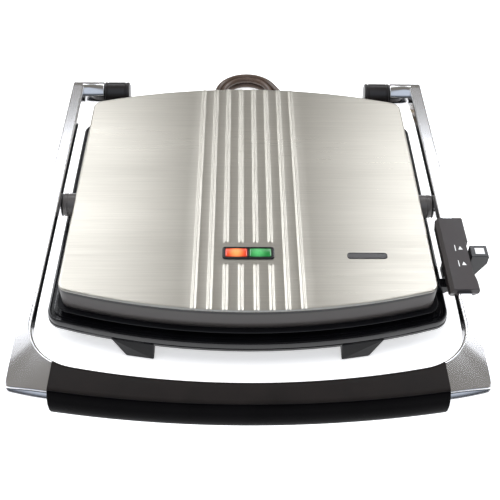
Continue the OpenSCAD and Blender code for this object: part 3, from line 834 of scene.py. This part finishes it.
def grip_body():
    """Lower half of the grip: it carries the full front face and the underside."""
    top, split, low = GRIP_TOP, GRIP_SPLIT, GRIP_LOW
    return Shape().solid(grip_rows([
        (0, 0.3, split - 0.15), (0, 0, split - 0.7), (0, 0, low + 5), (0, 0.5, low + 2.8),
        (0, 1.8, low + 1), (0, 4.5, low), (1, -7, low), (1, -4, low + 0.6), (1, -1.9, low + 2.2),
        (1, -0.7, low + 4.6), (1, -0.15, low + 8), (1, 0, low + 11), (1, -0.35, low + 14.5),
        (1, -1.2, low + 17.6), (1, -2.5, low + 20.2), (1, -3.9, top - 1.75), (1, -4.5, top - 1.2),
        (1, -4.75, top - 1.3), (1, -4.85, top - 2), (1, -5.3, top - 3.2), (1, -5.8, split + 0.4),
        (1, -6.2, split - 0.15)]))


def rounded_block(centre, size, corner, profile):
    """Rounded rectangle in plan, stacked by a profile of (inset, height) points."""
    half = np.array(size) / 2
    base = soft_corners(centre + half * np.array([(-1, -1), (1, -1), (1, 1), (-1, 1)]), corner, 6)
    return np.stack([np.column_stack([grown(base, -i), np.full(len(base), z)])
                     for i, z in profile])


# ---------------------------------------------------------------- settings

def colour_setting(name, words, value):
    return bpy.props.FloatVectorProperty(name=name, description=words, default=value,
                                         subtype="COLOR", min=0, max=1)


class PressLidSettings(bpy.types.PropertyGroup):
    rib_pitch: bpy.props.FloatProperty(
        name="Rib pitch", description="Distance between neighbouring ribs, in millimetres",
        default=13)
    rib_rise: bpy.props.FloatProperty(
        name="Rib rise", description="Height of a rib above the cover, in millimetres",
        default=0.65)
    rib_crown: bpy.props.FloatProperty(
        name="Rib crown", description="Half of the level width of a rib, in millimetres",
        default=0.2)
    rib_foot: bpy.props.FloatProperty(
        name="Rib foot", description="Half of the whole width of a rib, in millimetres",
        default=2.5)
    rib_stop: bpy.props.FloatProperty(
        name="Rib stop", description="Distance from the indicators at which the middle ribs "
        "stop, in millimetres", default=13.3)
    sheet: bpy.props.FloatProperty(
        name="Sheet", description="Thickness of the cover, in millimetres", default=1)


class PressFinishSettings(bpy.types.PropertyGroup):
    steel: colour_setting("Steel", "Colour of the lid's brushed steel", (0.64, 0.613, 0.545))
    steel_rough: bpy.props.FloatProperty(
        name="Steel roughness", description="Roughness of the lid's brushed steel", default=0.3,
        min=0, max=1, subtype="FACTOR")
    casting: colour_setting("Casting", "Colour of the arms", (0.78, 0.78, 0.79))
    casting_rough: bpy.props.FloatProperty(
        name="Casting roughness", description="Roughness of the arms", default=0.15, min=0, max=1,
        subtype="FACTOR")
    grip: colour_setting("Grip", "Colour of the grip's upper half", (0.0076, 0.0055, 0.0048))


class PressStageSettings(bpy.types.PropertyGroup):
    lens: bpy.props.FloatProperty(name="Lens", description="Focal length of the camera",
                                  default=59.04, subtype="DISTANCE_CAMERA")
    pitch: bpy.props.FloatProperty(name="Pitch", description="How far the camera looks down",
                                   default=math.radians(46.81), subtype="ANGLE")
    yaw: bpy.props.FloatProperty(name="Yaw", description="How far the camera turns right",
                                 default=math.radians(1.12), subtype="ANGLE")
    roll: bpy.props.FloatProperty(name="Roll", description="How far the camera leans right",
                                  default=math.radians(-1.05), subtype="ANGLE")
    place: bpy.props.FloatVectorProperty(
        name="Camera", description="Place of the camera beside the press's middle",
        default=(-0.0081, -0.528, 0.583), subtype="TRANSLATION", unit="LENGTH")
    overhead: bpy.props.FloatProperty(name="Overhead light", description="Power of the light "
                                      "above the press", default=26, unit="POWER")
    floor_glow: bpy.props.FloatProperty(
        name="Floor glow", description="Light that comes up through the floor", default=0.6,
        min=0)
    floor: colour_setting("Floor", "Colour of the floor", (0.95, 0.95, 0.95))


# ---------------------------------------------------------------- operators

class PRESS_OT_stage(bpy.types.Operator):
    """Sets up the camera, the floor and the light"""
    bl_idname = "press.stage"
    bl_label = "Stage"

    def execute(self, context):
        stage = context.scene.press_stage
        self.camera(context.scene, stage)
        self.floor(stage)
        self.light(stage)
        self.room(context.scene)
        context.scene.view_settings.view_transform = "Standard"
        return {"FINISHED"}

    def camera(self, scene, stage):
        data = bpy.data.cameras.new("press_camera")
        data.lens = stage.lens
        data.clip_start, data.clip_end = 0.02, 50
        camera = bpy.data.objects.new("press_camera", data)
        scene.collection.objects.link(camera)
        camera.location = Vector(stage.place) + Vector((MID_X * MM, 0, 0))
        level = math.cos(stage.pitch)
        ahead = Vector((math.sin(stage.yaw) * level, math.cos(stage.yaw) * level,
                        -math.sin(stage.pitch)))
        camera.rotation_mode = "QUATERNION"
        camera.rotation_quaternion = (Quaternion(ahead, stage.roll)
                                      @ ahead.to_track_quat("-Z", "Y"))
        scene.camera = camera

    def floor(self, stage):
        """Square floor with a finish of faint clouds."""
        reach = 6.0
        side = np.linspace(-reach, reach, 9)
        x, y = np.meshgrid(side, side)
        mesh = bpy.data.meshes.new("studio_floor")
        mesh.from_pydata(np.dstack([x, y, np.zeros_like(x)]).reshape(-1, 3), [],
                         sheet_faces(9, 9).tolist())
        mesh.materials.append(moulded(
            "floor_paper", stage.floor, 0.85, 900.0, 0.002, 0.004,
            Emission_Color=(1, 1, 1, 1), Emission_Strength=stage.floor_glow))
        floor = bpy.data.objects.new("studio_floor", mesh)
        bpy.context.scene.collection.objects.link(floor)

    def light(self, stage):
        data = bpy.data.lights.new("overhead", "AREA")
        data.shape = "DISK"
        data.size = 1.7
        data.energy = stage.overhead
        light = bpy.data.objects.new("overhead", data)
        light.location = (MID_X * MM, 0.0, 2.0)
        light.visible_glossy = False
        bpy.context.scene.collection.objects.link(light)

    def room(self, scene):
        """Light from the room, by direction: azimuth 0 is straight behind the press. A band of
        soft panels stands behind it, dimmer in the middle, with a paler pair beside it, a soft
        one high in front and a dim wall all round."""
        world = bpy.data.worlds.new("studio_room")
        world.use_nodes = True
        scene.world = world
        nodes = Nodes(world.node_tree)
        heading = nodes.add("TexCoord")
        split = world.node_tree.nodes.new("ShaderNodeSeparateXYZ")
        nodes.feed(split.inputs[0], heading)
        x, y, z = split.outputs
        turn = 1.2
        height = nodes.math("DEGREES", nodes.math("ARCSINE", z))
        azimuth = nodes.math("SUBTRACT", nodes.math("DEGREES", nodes.math("ARCTAN2", x, y)), turn)
        azimuth = nodes.math("ABSOLUTE", azimuth)
        band = nodes.times(nodes.soft(height, 38, 43), nodes.soft(height, 50.4, 44))
        sides = nodes.times(nodes.soft(azimuth, 3, 18, 0.1, 1), nodes.soft(azimuth, 62, 34))
        beside = nodes.times(nodes.soft(azimuth, 30, 44), nodes.soft(azimuth, 105, 75))
        beside = nodes.times(beside, nodes.times(nodes.soft(height, 2, 18),
                                                 nodes.soft(height, 60, 48)))
        facing = nodes.times(nodes.soft(azimuth, 100, 150), nodes.soft(height, 8, 30))
        wall = nodes.math("MULTIPLY_ADD", facing, 0.75, nodes.soft(azimuth, 90, 140, 0.22, 0.07))
        panels = nodes.math("MULTIPLY_ADD", beside, 1.3,
                            nodes.times(nodes.times(band, sides), 8.5))
        total = nodes.math("ADD", panels, wall)
        backdrop = world.node_tree.nodes["Background"]
        nodes.feed(backdrop.inputs["Color"],
                   nodes.mix(nodes.spread(panels, 0, 0.8), nodes.mix(
                       nodes.spread(azimuth, 90, 140), (1.0, 0.94, 0.86, 1),
                       (0.78, 0.86, 1.0, 1)), (0.97, 0.995, 1.045, 1)))
        nodes.feed(backdrop.inputs["Strength"], total)


class PRESS_OT_cord(bpy.types.Operator):
    """Builds the mains cord, its strain relief and its plug"""
    bl_idname = "press.cord"
    bl_label = "Cord"

    def execute(self, context):
        start = np.array([LEAD[0][0], LEAD[0][1] - 3, LEAD[0][2] + 3 * math.tan(GLAND_TILT)])
        down = (0, math.cos(GLAND_TILT), -math.sin(GLAND_TILT))
        beads = [(8 + 3.6 * i + d, 5.6 - 0.28 * i + r) for i in range(5)
                 for d, r in ((0, -0.45), (0.4, 0), (2.2, -0.1), (2.6, -0.5))]
        outside = [(0.2, 5.2), (0.8, 6.1), (6.6, 6.2), (7.2, 5.7), *beads, (25.6, 4.1),
                   (26, 3.6)]
        gland = turned([*outside, (25.8, 3.27), (0.2, 3.27)], start, down, 32)
        relief = put("strain_relief", Shape().ring(gland), "base", [finish("cord_jacket_painted_reflection")],
                     ["cord_gland"], 50)
        plug = eased("plug_moulding", "plug_body", finish("cord_jacket_painted_reflection"), 2.2, 4)
        blades = eased("plug_blades", "plug_pins", finish("brass"), 0.5)
        path = cord_route()
        cord = put("mains_cord", Shape().solid(tube(path, CORD_D / 2)), "base",
                   [finish("cord_jacket_painted_reflection")], ["cord_lead", "cord_coil", "cord_tail"])
        return {"FINISHED"}


class PRESS_OT_lid(bpy.types.Operator):
    """Builds the lid's cover, its frame and its pivot bosses"""
    bl_idname = "press.lid"
    bl_label = "Lid"

    def execute(self, context):
        put("lid_shell", lid_shell(context.scene.press_lid), "lid",
            [finish("brushed_steel"), finish("skirt_grey_painted_shade")], ["lid_cover"],
            60)
        put("lid_frame_ring", lid_frame_ring(), "lid", [finish("inner_frame")], ["lid_frame"])
        r = 10.8
        start = LID_HALF - 3
        run = extent("lid_frame")[1][0] - start
        boss = [(0, r), (run - 5.4, r), (run - 5, r - 0.45), (run - 4.2, r - 0.45),
                (run - 3.8, r), (run - 0.9, r), (run - 0.25, r - 0.4), (run, r - 1.1)]
        put("pivot_bosses", Shape().both(turned(boss, (start, FLOAT_Y, FLOAT_Z), (1, 0, 0), 48)),
            "lid", [finish("boss_plastic")], ["lid_frame"])
        return {"FINISHED"}


class PRESS_OT_indicators(bpy.types.Operator):
    """Builds the indicator lamps' bezel and lenses, and the blank badge"""
    bl_idname = "press.indicators"
    bl_label = "Indicators and badge"

    def execute(self, context):
        top = LID_TOP
        low, high = extent("indicator_bezel")
        middle, size = (low + high)[:2] / 2, (high - low)[:2]
        shape = Shape().solid(rounded_block(middle, size, 3, [
            (0.5, top - 0.6), (0.15, top + 0.05), (0, top + 0.5), (0.25, top + 1.1),
            (0.8, top + 1.45), (1.3, top + 1.3), (1.6, top + 0.7)]))
        bar = rounded_block(middle, (1.6, 9.8), 0.4, [(0, top), (0.05, top + 1.1),
                                                       (0.4, top + 1.4)])
        put("indicator_frame", shape.solid(bar), "lid", [finish("bezel_plastic")],
            ["indicator_bezel"], 50)
        for name, node, kind in (("power_window", "power_lens", "red_lens"),
                                 ("ready_window", "ready_lens", "green_lens")):
            low, high = extent(node)
            centre = (low + high)[:2] / 2
            dome = rounded_block(centre, (high - low)[:2] - 0.5, 1.6, [
                (0, top - 0.3), (0, top + 0.95), (0.12, top + 1.2), (0.4, top + 1.38),
                (0.75, top + 1.47), (1, top + 1.5)])
            put(name, Shape().solid(dome), "lid", [finish(kind)], [node], 50)
        low, high = extent("badge_plate")
        size = (high - low)[:2]
        pill = rounded_block((low + high)[:2] / 2, size, size[1] * 0.45, [
            (0, top - 0.2), (0, top + 0.3), (0.12, top + 0.45), (0.35, top + 0.55),
            (0.7, top + 0.55), (0.85, top + 0.42), (1.3, top + 0.42)])
        put("blank_badge", Shape().solid(pill), "lid", [finish("badge_enamel")],
            ["badge_plate"], 50)
        return {"FINISHED"}


class PRESS_OT_base(bpy.types.Operator):
    """Builds the base's shell, lugs, hinge towers, keeper and feet"""
    bl_idname = "press.base"
    bl_label = "Base"

    def execute(self, context):
        node, slot = ["base_housing"], "black_plastic"
        put("base_shell", base_shell(), "base", [finish("black_shell")], node)
        put("standing_lugs", standing_lugs(), "base", [finish("inner_frame")], node)
        put("hinge_towers", hinge_towers(), "base", [finish("hinge_plastic")], node)
        eased("latch_catch", "latch_keeper", finish("black_shell"))
        eased("foot_pads", "rubber_feet", finish("foot_rubber"), 0.5)
        eased("bottom_pan", "bottom_cover", finish("inner_frame"), 0.4)
        return {"FINISHED"}


class PRESS_OT_arms(bpy.types.Operator):
    """Builds the two arms"""
    bl_idname = "press.arms"
    bl_label = "Arms"

    def execute(self, context):
        for name, node, mirror in (("left_arm_casting", "left_arm", True),
                                   ("right_arm_casting", "right_arm", False)):
            put(name, arm_shape(mirror), "arms", [finish("satin_casting")], [node],
                40)
        return {"FINISHED"}


class PRESS_OT_grip(bpy.types.Operator):
    """Builds the two halves of the grip"""
    bl_idname = "press.grip"
    bl_label = "Grip"

    def execute(self, context):
        put("grip_cap", grip_cap(), "arms", [finish("grip_cap")], ["grip_upper"],
            50)
        put("grip_body", grip_body(), "arms", [finish("grip_body")], ["grip_lower"],
            50)
        return {"FINISHED"}


class PRESS_OT_latch(bpy.types.Operator):
    """Builds the latch's housing, slider and marks"""
    bl_idname = "press.latch"
    bl_label = "Latch"

    def execute(self, context):
        eased("latch_sleeve", "latch_housing", finish("latch_plastic"), 1.0)
        eased("latch_thumb_slide", "latch_slider", finish("knob_plastic"), 0.8)
        eased("latch_index", "latch_marker", finish("print_white"), 0.2)
        top = extent("latch_housing")[1][2]
        marks = Shape()
        for y in MARKS_Y:
            arrow = np.array([(-1.9, -1.9), (1.9, -1.9), (0, 2.1)]) + [ARROW_X, y]
            bar = np.array([(-0.35, -3.4), (0.35, -3.4), (0.35, 3.4), (-0.35, 3.4)]) + [BAR_X, y]
            for outline in (soft_corners(arrow, 0.3, 2), bar):
                marks.solid(prism(outline, top - 0.1, top + 0.06, 0.02, [0, 1, 2], 1))
        put("latch_marks", marks, "arms", [finish("print_white")], ["latch_housing"])
        return {"FINISHED"}


class PRESS_OT_inner_parts(bpy.types.Operator):
    """Gives the frame's own parts their finishes"""
    bl_idname = "press.inner_parts"
    bl_label = "Inner parts"

    dress = {
        "nonstick_coat": ["lower_grill_plate", "upper_grill_plate"],
        "element_steel": ["lower_heating_element", "upper_heating_element"],
        "reflector_sheet": ["lower_heat_reflector", "upper_heat_reflector"],
        "ceramic": ["lower_thermostat", "upper_thermostat", "thermal_fuse", "terminal_block"],
        "bright_steel": ["base_screws", "hinge_pins", "float_pins", "grip_core", "grip_screws",
                         "lid_screws"],
        "bush_acetal": ["hinge_bushes"],
        "lamp_glass": ["indicator_lamps"],
    }

    def execute(self, context):
        for kind, names in self.dress.items():
            for name in names:
                for held in frame["nodes"][name].material_slots:
                    held.material = finish(kind)
        return {"FINISHED"}


class PRESS_PT_panel(bpy.types.Panel):
    """Lists the steps that build the press"""
    bl_label = "Panini press"
    bl_idname = "PRESS_PT_panel"
    bl_space_type = "VIEW_3D"
    bl_region_type = "UI"
    bl_category = "Panini press"

    def draw(self, context):
        for group in SETTINGS:
            held = getattr(context.scene, group)
            for key in held.__annotations__:
                self.layout.prop(held, key)
        for step in STEPS:
            self.layout.operator(step.bl_idname)


STEPS = (PRESS_OT_stage, PRESS_OT_cord, PRESS_OT_lid, PRESS_OT_indicators, PRESS_OT_base,
         PRESS_OT_arms, PRESS_OT_grip, PRESS_OT_latch, PRESS_OT_inner_parts)
SETTINGS = {"press_lid": PressLidSettings, "press_finish": PressFinishSettings,
            "press_stage": PressStageSettings}


def register():
    for made in (*SETTINGS.values(), *STEPS, PRESS_PT_panel):
        bpy.utils.register_class(made)
    for name, group in SETTINGS.items():
        setattr(bpy.types.Scene, name, bpy.props.PointerProperty(type=group))


def unregister():
    for name in SETTINGS:
        delattr(bpy.types.Scene, name)
    for made in reversed((*SETTINGS.values(), *STEPS, PRESS_PT_panel)):
        bpy.utils.unregister_class(made)


def main():
    register()
    for step in STEPS:
        group, name = step.bl_idname.split(".")
        getattr(getattr(bpy.ops, group), name)()


if __name__ == "__main__":
    main()
